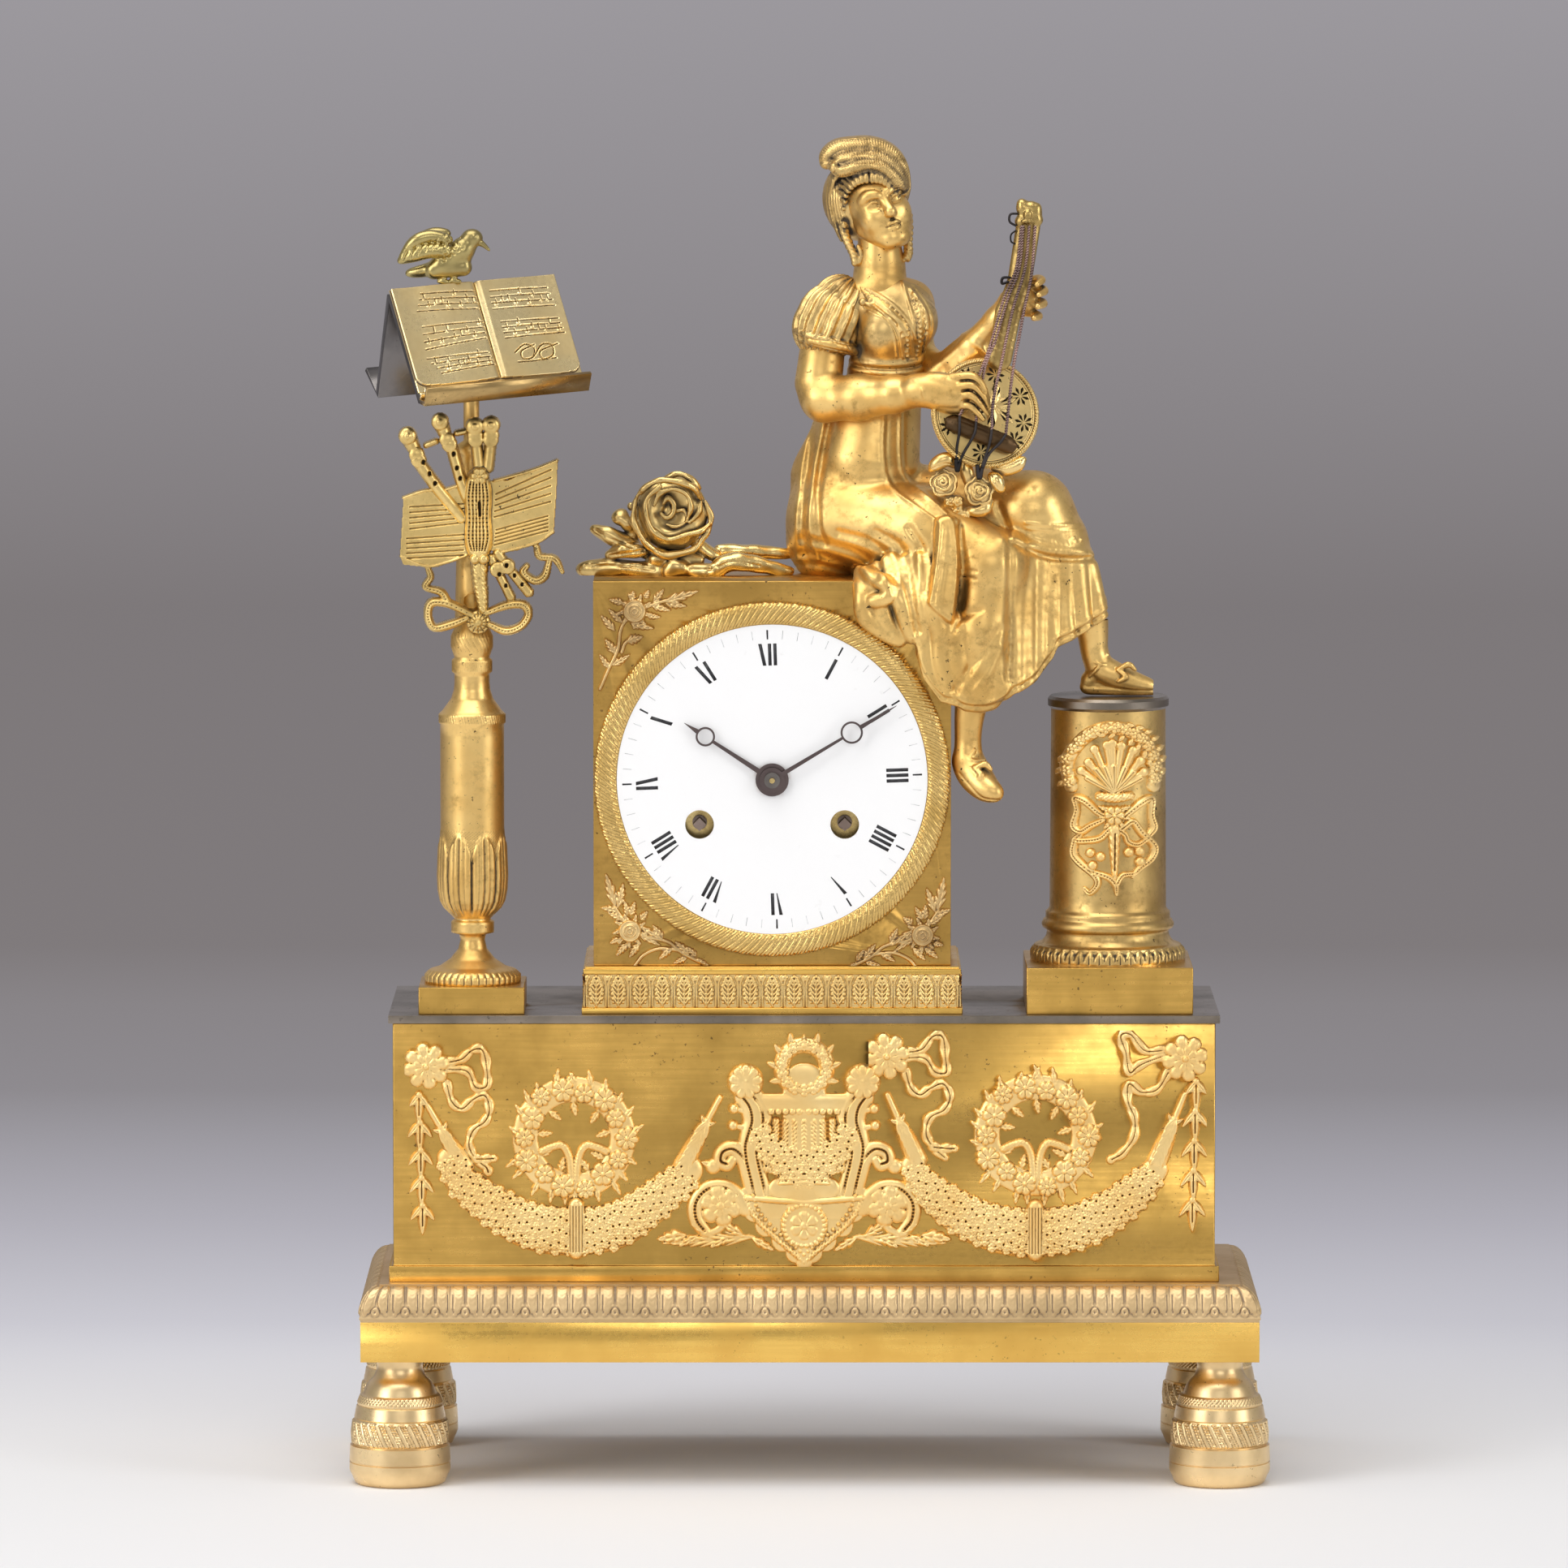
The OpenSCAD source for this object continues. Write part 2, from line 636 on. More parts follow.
module bezel() {
    mid = (bezel_r + dial_r) / 2;
    color("goldenrod") translate([mx, case_y0, mz]) rotate([90, 0, 0]) rotate_extrude($fn = 96)
        polygon(concat([[dial_r + 1.2, 0], [bezel_r, 0], [bezel_r, bezel_t * 0.35]],
            [for (a = [20:20:160]) [mid + (bezel_r - dial_r) / 2 * cos(a) * 0.96,
                bezel_t * (0.35 + 0.65 * sin(a))]],
            [[dial_r, bezel_t * 0.6], [dial_r, case_y0 - dial_y + lip_gap],
             [dial_r + 1.2, case_y0 - dial_y + lip_gap]]));
}

module dial() {
    color("white") difference() {
        union() {
            shaft([0, 0], dial_r + 1, dial_y, dial_y + dial_t);
            for (a = [90, 210, 330])
                shaft(dial_foot_at * [cos(a), sin(a)], pivot_r, dial_y + 1, train_y - 0.4);
        }
        shaft([0, 0], 3.2, dial_y - 1, dial_y + dial_t + 1);
        for (p = [going_at, strike_at]) shaft(p, 4, dial_y - 1, dial_y + dial_t + 1);
    }
}

module movement_drum() {
    swing = 8;
    color("burlywood") difference() {
        shaft([0, 0], drum_r, case_y0, case_y1);
        shaft([0, 0], drum_r - drum_wall, case_y0 - 1, case_y1 + 1);
        block(mx, 2 * swing, rod_y - 3, rod_y + 3, mz - drum_r - 1, mz - drum_r + 8);
    }
}

module front_plate() {
    color("khaki") {
        difference() {
            shaft([0, 0], plate_r, front_plate_y, train_y);
            shaft([0, 0], 2, front_plate_y - 1, train_y + 1);
            for (p = [going_at, strike_at]) shaft(p, wind_r + running, front_plate_y - 1, train_y + 1);
            for (p = [inter_at, third_at, escape_at, anchor_at, strike2_at, pin_at, hammer_at])
                shaft(p, pivot_r + running, front_plate_y - 1, train_y + 1);
            for (a = [90, 210, 330])
                shaft(dial_foot_at * [cos(a), sin(a)], pivot_r + running, front_plate_y - 1, train_y + 1);
            for (a = pillar_angles)
                shaft(pillar_at * [cos(a), sin(a)], 1.3, front_plate_y - 1, train_y + 1);
        }
        shaft(minute_at, arbor_r, front_plate_y - 5, front_plate_y);
    }
}

module back_plate() {
    color("khaki") difference() {
        shaft([0, 0], plate_r, back_plate_y, rear_y);
        for (p = [going_at, strike_at]) shaft(p, wind_r + running, back_plate_y - 1, rear_y + 1);
        for (p = [centre_at, inter_at, third_at, escape_at, pin_at])
            shaft(p, pivot_r + running, back_plate_y - 1, rear_y + 1);
        for (p = [anchor_at, strike2_at, hammer_at])
            shaft(p, arbor_r + running, back_plate_y - 1, rear_y + 1);
        for (a = pillar_angles)
            shaft(pillar_at * [cos(a), sin(a)], 1.3, back_plate_y - 1, rear_y + 1);
    }
}

module plate_pillars() {
    color("goldenrod") for (a = pillar_angles) {
        p = pillar_at * [cos(a), sin(a)];
        shaft(p, 2.4, train_y, back_plate_y);
        shaft(p, 1.2, front_plate_y - 0.6, train_y);
        shaft(p, 1.2, back_plate_y, rear_y + 0.6);
    }
}

// A going or strike barrel with its great wheel, facing the pinion that it drives
module barrel(at, driven) {
    hollow = barrel_r - 1;
    drum_y = great_y + great_t;
    difference() {
        union() {
            works(at, great_y, great_t) teeth(great[0], great[1], 1.3, 1.1, 1.4, angle_to(at, driven));
            shaft(at, barrel_r, drum_y, drum_y + barrel_h);
        }
        shaft(at, hollow, drum_y + 0.4, drum_y + barrel_h - 1);
        shaft(at, wind_r + running, great_y - 1, drum_y + barrel_h + 1);
    }
}

module going_barrel() {
    color("gold") barrel(going_at, inter_at);
}

module strike_barrel() {
    color("gold") barrel(strike_at, strike2_at);
}

// A winding arbor: journals in both plates, and a square that the key takes
module winding_arbor(at) {
    shaft(at, wind_r, front_plate_y - 1.2, rear_y + 0.8);
    works(at, dial_y - 0.2, front_plate_y - 1.2 - dial_y + 0.2)
        rotate(45) square(square_w, center = true);
}

module going_arbor() {
    color("slategray") winding_arbor(going_at);
}

module strike_arbor() {
    color("slategray") winding_arbor(strike_at);
}

// An arbor between the plates with a pivot at each end
module arbor(at, r = arbor_r) {
    shaft(at, r, train_y + 0.3, back_plate_y - 0.3);
    shaft(at, pivot_r, front_plate_y + 0.2, train_y + 0.3);
    shaft(at, pivot_r, back_plate_y - 0.3, rear_y - 0.2);
}

module intermediate_wheel() {
    color("gold") {
        arbor(inter_at);
        works(inter_at, great_y - 0.3, great_t + 0.6)
            pinion(great_pinion, great[1], angle_to(inter_at, going_at));
        works(inter_at, second_y, second_t) wheel(second, angle_to(inter_at, centre_at));
    }
}

module centre_wheel() {
    color("gold") {
        shaft(centre_at, 1, train_y + 0.3, back_plate_y - 0.3);
        shaft(centre_at, pivot_r, back_plate_y - 0.3, rear_y - 0.2);
        shaft(centre_at, 0.75, minute_hand_y - 1.6, train_y + 0.3);
        works(centre_at, second_y - 0.3, second_t + 0.6)
            pinion(second_pinion, second[1], angle_to(centre_at, inter_at));
        works(centre_at, centre_y, centre_t) wheel(centre, angle_to(centre_at, third_at));
    }
}

module third_wheel() {
    color("gold") {
        arbor(third_at, 0.7);
        works(third_at, centre_y - 0.4, centre_t + 0.8)
            pinion(centre_pinion, centre[1], angle_to(third_at, centre_at));
        works(third_at, third_y, third_t) wheel(third, angle_to(third_at, escape_at));
    }
}

module escape_wheel() {
    n = escape_teeth;
    color("gold") {
        shaft(escape_at, 0.65, train_y + 0.3, third_y - 0.4);
        shaft(escape_at, 0.65, third_y + third_t + 0.4, back_plate_y - 0.3);
        shaft(escape_at, pivot_r, front_plate_y + 0.2, train_y + 0.3);
        shaft(escape_at, pivot_r, back_plate_y - 0.3, rear_y - 0.2);
        works(escape_at, third_y - 0.4, third_t + 0.8)
            pinion(third_pinion, third[1], angle_to(escape_at, third_at));
        works(escape_at, escape_y, escape_t) difference() {
            polygon([for (k = [0:n - 1]) for (p = [[-0.42, 0.82], [-0.2, 0.86], [0.02, 1], [0.08, 1], [0.2, 0.84]])
                p[1] * escape_r * [cos((k + p[0]) * 360 / n), sin((k + p[0]) * 360 / n)]]);
            difference() {
                circle(escape_r * 0.68, $fn = 48);
                circle(2.2, $fn = 32);
                for (k = [0:3]) rotate(k * 90) translate([0, -0.4]) square([escape_r * 0.75, 0.8]);
            }
        }
    }
}

// The anchor, its arbor, and the crutch that steers the pendulum behind the back plate
module pallet_anchor() {
    reach = norm(anchor_at - escape_at);
    fork = 18;
    color("slategray") {
        shaft(anchor_at, pivot_r, front_plate_y + 0.2, train_y + 0.3);
        shaft(anchor_at, arbor_r, train_y + 0.3, crutch_y + 1);
        works(anchor_at, escape_y - 0.3, escape_t + 0.6) {
            circle(2, $fn = 32);
            for (s = [-1, 1])
                band([[0, 0], [s * 4.2, -1.6], [s * 7.4, -reach + escape_r * 0.8]], [2.4, 2, 1]);
        }
        works(anchor_at, crutch_y, 1) {
            band([[0, 0], [0, -fork]], [2.4, 1.6]);
            translate([-2, -fork - 1.1]) square([4, 1.7]);
        }
        for (s = [-1, 1])
            works(anchor_at, crutch_y, rod_y + 1.4 - crutch_y)
                translate([s * (rod_r + running + 0.4) - 0.4, -fork - 1.6]) square([0.8, 2.4]);
    }
}

module strike_wheel() {
    color("gold") {
        arbor(strike2_at);
        shaft(strike2_at, arbor_r, back_plate_y - 0.3, count_y + 1.6);
        works(strike2_at, great_y - 0.3, great_t + 0.6)
            pinion(great_pinion, great[1], angle_to(strike2_at, strike_at));
        works(strike2_at, second_y, second_t) wheel(second, angle_to(strike2_at, pin_at));
    }
}

module pin_wheel() {
    color("gold") {
        arbor(pin_at);
        works(pin_at, pin_y - 0.3, second_t + 0.6)
            pinion(pin_wheel_pinion, second[1], angle_to(pin_at, strike2_at));
        works(pin_at, pin_y - 5, 0.8) circle(pin_wheel_r, $fn = 48);
        for (k = [0:hammer_pins - 1])
            shaft(pin_at + (pin_wheel_r - 0.9) * [cos(k * 360 / hammer_pins), sin(k * 360 / hammer_pins)],
                0.4, pin_y - 4.3, pin_y - 2.4);
    }
}

module minute_wheel() {
    y = front_plate_y - 1.8;
    m = 2 * apart(cannon, minute_teeth) / (minute_pinion + hour_teeth);
    color("gold") difference() {
        union() {
            works(minute_at, y, 1.2) wheel([minute_teeth, cannon[1]], angle_to(minute_at, centre_at), 4);
            works(minute_at, y - 2.4, 2.4)
                pinion(minute_pinion, m, angle_to(minute_at, centre_at));
        }
        shaft(minute_at, arbor_r + running, y - 3, y + 2);
    }
}

module hour_wheel() {
    y = front_plate_y - 4;
    m = 2 * apart(cannon, minute_teeth) / (minute_pinion + hour_teeth);
    color("gold") difference() {
        union() {
            works(centre_at, y, 1.1) wheel([hour_teeth, m], angle_to(centre_at, minute_at), 4);
            shaft(centre_at, 2.3, hour_hand_y + hand_t, y + 0.2);
            shaft(centre_at, 2, hour_hand_y, hour_hand_y + hand_t);
        }
        shaft(centre_at, 1.5 + running, hour_hand_y - 1, y + 2);
    }
}

module suspension_cock() {
    up = 4;
    color("khaki") {
        translate([mx - 4, rear_y, mz + anchor_at[1] + up]) cube([8, rod_y + 2.6 - rear_y, 3]);
        translate([mx - 2.2, rod_y + 1.4, mz + anchor_at[1] - 1.6]) cube([4.4, 1.2, up + 1.6]);
        shaft(anchor_at, rod_r, rod_y - 1.2, rod_y + 2);
    }
}

module pendulum_rod() {
    top = anchor_at[1];
    color("slategray") {
        difference() {
            shaft([0, top], 2, rod_y - 0.7, rod_y + 0.7);
            shaft([0, top], rod_r + running, rod_y - 2, rod_y + 2);
        }
        translate([mx, rod_y, mz + top - pendulum_l - bob_r - 5])
            cylinder(r = rod_r, h = pendulum_l + bob_r + 5 - 1.6, $fn = 24);
    }
}

module pendulum_bob() {
    z = anchor_at[1] - pendulum_l;
    t = 6;
    color("gold") difference() {
        translate([mx, rod_y, mz + z]) rotate([-90, 0, 0]) rotate_extrude($fn = 72)
            polygon([[0, -t / 2], [bob_r * 0.45, -t * 0.44], [bob_r * 0.8, -t * 0.24], [bob_r, -0.5],
                [bob_r, 0.5], [bob_r * 0.8, t * 0.24], [bob_r * 0.45, t * 0.44], [0, t / 2]]);
        translate([mx, rod_y, mz + z - bob_r - 1])
            cylinder(r = rod_r + running, h = 2 * bob_r + 2, $fn = 24);
    }
}

module bell() {
    r = bell_r;
    t = 1.2;
    foot = rear_y;
    color("silver") translate([mx + bell_at[0], 0, mz + bell_at[1]]) {
        translate([0, bell_y, 0]) rotate([-90, 0, 0]) rotate_extrude($fn = 80)
            polygon(concat([[r - t, 0], [r, 0]],
                [for (a = [15:15:75]) [r * pow(cos(a), 0.6), bell_h * sin(a)]],
                [[1.4, bell_h], [1.4, bell_h - t]],
                [for (a = [75:-15:15]) [(r - t) * pow(cos(a), 0.6), (bell_h - t) * sin(a)]]));
        translate([0, foot, 0]) rotate([-90, 0, 0]) cylinder(r = 2.4, h = bell_y + bell_h - t - foot, $fn = 32);
        translate([0, foot, 0]) rotate([-90, 0, 0]) cylinder(r = 1.4, h = bell_y + bell_h + 1 - foot, $fn = 32);
    }
}

module bell_hammer() {
    toward = angle_to(bell_at, hammer_at) + 20;
    head_r = 2.1;
    head = bell_at + (bell_r + head_r + 0.25) * [cos(toward), sin(toward)];
    y = bell_y - 0.6;
    color("slategray") {
        shaft(hammer_at, pivot_r, front_plate_y + 0.2, train_y + 0.3);
        shaft(hammer_at, arbor_r, train_y + 0.3, y + 1.2);
        works([0, 0], y, 1) band([hammer_at, head], [2, 1.4]);
        shaft(head, head_r, y - 0.4, y + 3);
    }
}

module count_wheel() {
    r = 11.5;
    slots = [1, 3, 6, 10, 15, 21, 28, 36, 45, 55, 66, 78];
    color("khaki") difference() {
        works(strike2_at, count_y, 1) difference() {
            circle(r, $fn = 96);
            for (s = slots) rotate(s * 360 / 78) translate([r - 1.4, -0.5]) square([2, 1]);
            difference() {
                circle(r * 0.72, $fn = 48);
                circle(3, $fn = 32);
                for (k = [0:3]) rotate(k * 90 + 20) translate([0, -0.7]) square([r * 0.8, 1.4]);
            }
        }
        shaft(strike2_at, arbor_r + running, count_y - 1, count_y + 3);
    }
}

// A hand with a pierced moon near its tip, pointing along X, drawn flat
module hand(l, moon_at, moon_r, w, hub_r, bore) {
    difference() {
        circle(hub_r, $fn = 40);
        circle(bore, $fn = 32);
    }
    polygon([[hub_r - 0.4, w], [moon_at - moon_r + 0.3, w * 0.6], [moon_at - moon_r + 0.3, -w * 0.6],
        [hub_r - 0.4, -w]]);
    translate([moon_at, 0]) difference() {
        circle(moon_r, $fn = 40);
        circle(moon_r - 0.55, $fn = 40);
    }
    polygon([[moon_at + moon_r - 0.3, w], [l * 0.94, w * 0.4], [l, 0.05], [l, -0.05],
        [l * 0.94, -w * 0.4], [moon_at + moon_r - 0.3, -w]]);
}

module hour_hand() {
    l = dial_r * 0.69;
    color("midnightblue") difference() {
        union() {
            works(centre_at, hour_hand_y, hand_t) rotate(147) hand(l, l * 0.76, 2.7, 0.7, 4.6, 2 + running);
            shaft(centre_at, 3, hour_hand_y - 0.2, hour_hand_y + hand_t);
        }
        shaft(centre_at, 2 + running, hour_hand_y - 1, hour_hand_y + 1);
    }
}

module minute_hand() {
    l = dial_r * 0.955;
    color("midnightblue") {
        works(centre_at, minute_hand_y, hand_t)
            rotate(31) hand(l, l * 0.64, 3.1, 0.6, 3.5, 0.75 + running);
        difference() {
            union() {
                shaft(centre_at, 1.5, minute_hand_y + hand_t, front_plate_y - 0.3);
                works(centre_at, front_plate_y - 2, 1.7)
                    pinion(cannon[0], cannon[1], angle_to(centre_at, minute_at));
            }
            shaft(centre_at, 0.75 + running, minute_hand_y - 1, front_plate_y + 1);
        }
    }
}

module hand_collet() {
    color("dimgray") difference() {
        shaft(centre_at, 2.2, minute_hand_y - collet_t, minute_hand_y);
        shaft(centre_at, 0.75 + running, minute_hand_y - 2, minute_hand_y + 1);
    }
}

// Rear bezel with the hinge that carries the cover
module rear_ring() {
    color("goldenrod") {
        difference() {
            translate([mx, case_y1, mz]) rotate([-90, 0, 0]) rotate_extrude($fn = 96)
                polygon([[drum_r - drum_wall, 0], [bezel_r - 2.2, 0], [bezel_r - 2.2, 1.4],
                    [drum_r - drum_wall, 2]]);
            translate([mx + hinge_x, hinge_y, mz - hinge_len / 2 - 1])
                cylinder(r = hinge_r + 0.3, h = hinge_len + 2, $fn = 32);
        }
        translate([mx + hinge_x, hinge_y, mz - hinge_len / 2]) {
            cylinder(r = pin_r, h = hinge_len, $fn = 24);
            for (z = [0, hinge_len - 4]) translate([0, 0, z]) difference() {
                cylinder(r = hinge_r, h = 4, $fn = 32);
                translate([0, 0, -1]) cylinder(r = pin_r - 0.1, h = 6, $fn = 24);
            }
            for (z = [0, hinge_len - 4])
                translate([-5, case_y1 - hinge_y, z]) cube([4.6, 1.4, 4]);
        }
    }
}

// The cover over the bell: a shallow turned pan that swings on the rear ring
module rear_cover() {
    r = drum_r - 0.4;
    y = case_y1 + 2.3;
    color("goldenrod") {
        translate([mx, y, mz]) rotate([-90, 0, 0]) rotate_extrude($fn = 96)
            polygon([[0, 1.6], [r - 8, 1.6], [r - 3, 0.2], [r - 1, 0], [r, 0.4], [r, 1],
                [r - 2.4, 1.6], [r - 7.4, 3], [0, 3]]);
        translate([mx + hinge_x, hinge_y, mz - hinge_len / 2 + 4.2]) difference() {
            union() {
                cylinder(r = hinge_r, h = hinge_len - 8.4, $fn = 32);
                translate([-hinge_x + r - 2, 0.4, 0]) cube([hinge_x - r + 2, 1, hinge_len - 8.4]);
            }
            translate([0, 0, -1]) cylinder(r = pin_r + running, h = hinge_len, $fn = 24);
        }
    }
}

// A round bar from a to b that changes radius
module limb(a, ra, b, rb) {
    hull() {
        translate(a) sphere(ra, $fn = 18);
        translate(b) sphere(rb, $fn = 18);
    }
}

// A web of cloth between balls of one radius
module cloth(points, r) {
    hull() for (p = points) translate(p) sphere(r, $fn = 12);
}

module figure_dress() {
    color("goldenrod") difference() {
        union() {
            hull() for (p = [seat_right, seat_left, seat_rear, knee_right + [-22, 6, 0]])
                translate(p) sphere(9.4, $fn = 18);
            hull() {
                for (p = [seat_right, seat_left, seat_rear]) translate(p) sphere(9, $fn = 16);
                translate(waist + [-6, 2, -16]) sphere(9, $fn = 16);
                translate(waist + [3, 0, -16]) sphere(10, $fn = 16);
            }
            hull() {
                translate(waist + [-3, 2, -16]) sphere(10, $fn = 16);
                for (s = [-4.6, 4.6]) translate(waist + [s, 0, 0]) sphere(6.6, $fn = 16);
            }
            hull() {
                for (s = [-4.6, 4.6]) translate(waist + [s, 0, 2]) sphere(6.4, $fn = 16);
                for (s = [-6, 6]) translate(chest + [s, -1, -2]) sphere(7.6, $fn = 16);
                for (s = [-7, 7]) translate(chest + [s, 1, 4]) sphere(5.4, $fn = 16);
            }
            limb(shoulder_right, 8, shoulder_right + [-4, -1, -7], 7.6);
            limb(shoulder_left, 6.2, shoulder_left + [1, 0, -6], 6);
            limb(seat_right + [4, -4, 0], 9.6, knee_right, 9.4);
            limb(seat_left + [4, 0, 0], 10, knee_left + [-4, 0, 1], 8.6);
            limb(knee_left + [-4, 0, 1], 8.6, shin_left + [0, 0, 2], 7.4);
            limb(knee_right, 9.2, hem_right + [0, 0, 4], 8);
            limb(hem_right + [0, 0, 6], 8, hem_right + [-1, -1, -3], 9.6);
            cloth([knee_right + [2, -4, 4], knee_left + [-6, -2, 0], shin_left + [-4, 2, -6],
                hem_right + [4, 2, 4], knee_right + [8, 6, -14]], 5.2);
            cloth([on_case([26, -26.5, 2]), on_case([25, -29, -14]), on_case([38, -29.4, -18]),
                on_case([50, -29, -32]), on_case([56, -30, -33]), on_case([54, -27, 4])], 2.6);
            cloth([on_case([21, -22, 3.4]), on_case([26, -27, 1]), on_case([54, -27, 4]),
                on_case([50, -16, 6])], 3.2);
        }
        block(case_x, case_w + 0.04, case_y0 - 0.02, case_y1 + 1, case_z - 1, case_top);
        shaft([0, 0], bezel_r + 0.6, case_y0 - bezel_t - 0.1, case_y0);
    }
}

module figure_head() {
    lean = 1.6;
    color("goldenrod") {
        limb(neck_foot, 4.6, head_mid + [0, 0, -9], 4);
        hull() {
            translate(head_mid + [0.6, 0, -4]) sphere(6.4, $fn = 24);
            translate(head_mid + [-lean, 1, 4]) sphere(9.6, $fn = 24);
            translate(head_mid + [lean, -2.6, -8]) sphere(3.4, $fn = 20);
        }
        for (s = [-1, 1]) limb(head_mid + [s * 8.4, 1, -3], 2.6, head_mid + [s * 7.4, 1, -15], 1.8);
        hull() {
            translate(head_mid + [-3.4, 2, 3]) sphere(10.6, $fn = 24);
            translate(head_mid + [-4, 2, 9]) sphere(8, $fn = 24);
        }
        limb(head_mid + [-9, 0, 13], 2.8, head_mid + [3, -2, 16.4], 3);
        limb(head_mid + [3, -2, 16.4], 3, head_mid + [8.6, -2, 12], 2.4);
    }
}

module figure_arm_right() {
    color("goldenrod") {
        limb(shoulder_right + [-4, -1, -10], 6, elbow_right, 5.6);
        limb(elbow_right, 5.8, wrist_right, 3.8);
        limb(wrist_right, 3.9, hand_right, 3);
        for (k = [0:3])
            limb(hand_right + [-1, 0, 2 - k * 2], 1.4, hand_right + [6 - k, 0.6, 1 - k * 3], 1);
    }
}

module figure_arm_left() {
    color("goldenrod") {
        limb(shoulder_left + [1, 0, -6], 5.2, elbow_left, 4.8);
        limb(elbow_left, 4.8, wrist_left, 3.2);
        limb(wrist_left, 3.2, hand_left, 3);
        for (k = [0:3])
            limb(hand_left + [0, 0, 2.4 - k * 2], 1.3, hand_left + [5, -4, 2 - k * 2.2], 1);
    }
}

module figure_feet() {
    color("goldenrod") {
        limb(hem_right + [-1.6, 0, -4], 4.4, ankle_right + [0, 0, -5], 3.4);
        hull() {
            translate(ankle_right + [0, 0.5, -9]) sphere(3.8, $fn = 18);
            translate(toe_right + [-3, 1, 4]) sphere(3.6, $fn = 18);
            translate(toe_right + [2, -1, 0]) sphere(2.2, $fn = 18);
        }
        intersection() {
            union() {
                limb(shin_left, 5, ankle_left, 3.6);
                hull() {
                    translate(ankle_left) sphere(3.6, $fn = 18);
                    translate(heel_left) sphere(3.2, $fn = 18);
                    translate(heel_left + [7, -0.5, 0.8]) sphere(3.4, $fn = 18);
                    translate(toe_left) sphere(2.6, $fn = 18);
                }
            }
            translate([0, -base_d, col_top]) cube([base_w, 2 * base_d, case_h]);
        }
    }
}

module lean_to(p) {
    translate(p) rotate([0, 0, 14]) rotate([90 - disc_lean, 0, 0]) children();
}

module guitar_body() {
    color("palegoldenrod") {
        lean_to(disc_at) translate([0, 0, -disc_t]) {
            cylinder(r1 = disc_r * 0.8, r2 = disc_r, h = disc_t, $fn = 64);
            translate([0, 0, disc_t]) difference() {
                cylinder(r = disc_r, h = 1, $fn = 64);
                translate([0, 0, 0.5]) cylinder(r = disc_r - 1.6, h = 1, $fn = 64);
            }
            translate([-0.5, -disc_r * 0.62, disc_t]) rotate(-20)
                translate([-8.4, -1.6, 0]) cube([16.8, 3.4, 3]);
        }
        limb(disc_at + [-3, -1, 1 - disc_r], 2, on_case([51, -25, 22]), 2);
        for (p = [[45, -24, 24], [53, -25, 22], [49, -25, 18]]) translate(on_case(p)) sphere(4, $fn = 24);
    }
}

module guitar_neck() {
    color("goldenrod") {
        limb(disc_at + [2.4, -1, disc_r * 0.86], 2.4, neck_low, 2.2);
        hull() for (s = [-1, 1]) {
            translate(neck_low + [s * 2.6, 0, -4]) sphere(1.5, $fn = 16);
            translate(neck_high + [s * 1.9, 0, -12]) sphere(1.3, $fn = 16);
        }
        hull() for (s = [-1, 1]) {
            translate(neck_high + [s * 1.9, 0, -12]) sphere(1.3, $fn = 16);
            translate(neck_high + [s * 1.7, 0, 0]) sphere(1.5, $fn = 16);
        }
    }
}

module guitar_strings() {
    low = disc_at + [-3, -3.6, -6];
    high = neck_high + [0, -2.6, -3];
    color("black") for (k = [-1.5:1:1.5]) {
        a = low + [k * 2.6, 0, k * -1.1];
        d = high + [k * 1.1, 0, 0] - a;
        translate(a) rotate([0, acos(d[2] / norm(d)), atan2(d[1], d[0])])
            cylinder(r = 0.4, h = norm(d), $fn = 16);
    }
}

module rose_branch() {
    z = case_top;
    bloom = on_case([-28, -4, 16.6]);
    color("goldenrod") {
        intersection() {
            union() {
                hull() {
                    translate(bloom) rotate([90, 0, 0]) cylinder(r = 11, h = 5, center = true, $fn = 32);
                    translate(bloom + [0, 5, -1]) sphere(7, $fn = 18);
                }
                limb(bloom + [-15.5, 0, -1], 3.2, bloom + [-12, 1, -13], 2);
                limb(bloom + [6, 2, -10], 2, on_case([6, 0, 3]), 1.6);
                hull() for (p = [[-53, -6, 1.8], [-24, -12, 2], [2, -6, 2.4], [-30, 8, 2]])
                    translate(on_case(p)) sphere(2.4, $fn = 16);
                limb(bloom + [0, 3, -12], 3.4, bloom + [0, 3, -6], 3);
            }
            translate([-base_w / 2, -base_d, z]) cube([base_w, 2 * base_d, case_h]);
        }
    }
}

module column_block() {
    color("darkgoldenrod") difference() {
        block(col_x, col_block_w, col_y - col_block_w / 2, col_y + col_block_w / 2, deck_z, col_z);
        translate([col_x, col_y, deck_z - 1]) cylinder(r = stud_r + stud_gap, h = col_block_h + 2, $fn = 32);
    }
}

module column_shaft() {
    low = col_outline[len(col_outline) - 1][1];
    color("goldenrod") {
        turned([col_x, col_y], col_z, concat(col_outline,
            [[col_r, low + 1.2], [col_r - 0.3, col_shaft_h]]));
        translate([col_x, col_y, top_z - nut_h - 1.2])
            cylinder(r = stud_r, h = col_z - top_z + nut_h + 2, $fn = 32);
    }
}

module column_cap() {
    r = col_r + 0.6;
    color("dimgray") turned([col_x, col_y], cap_z,
        [[r - 0.8, 0], [r, 0.8], [r, cap_t - 0.8], [r - 0.7, cap_t]]);
}

// A point on the column's face, p[0] round it to the right and p[1] high
function on_column(p) =
    let (a = p[0] / col_r - PI / 2)
    [col_x + col_r * cos(a * 180 / PI), col_y + col_r * sin(a * 180 / PI), p[1]];

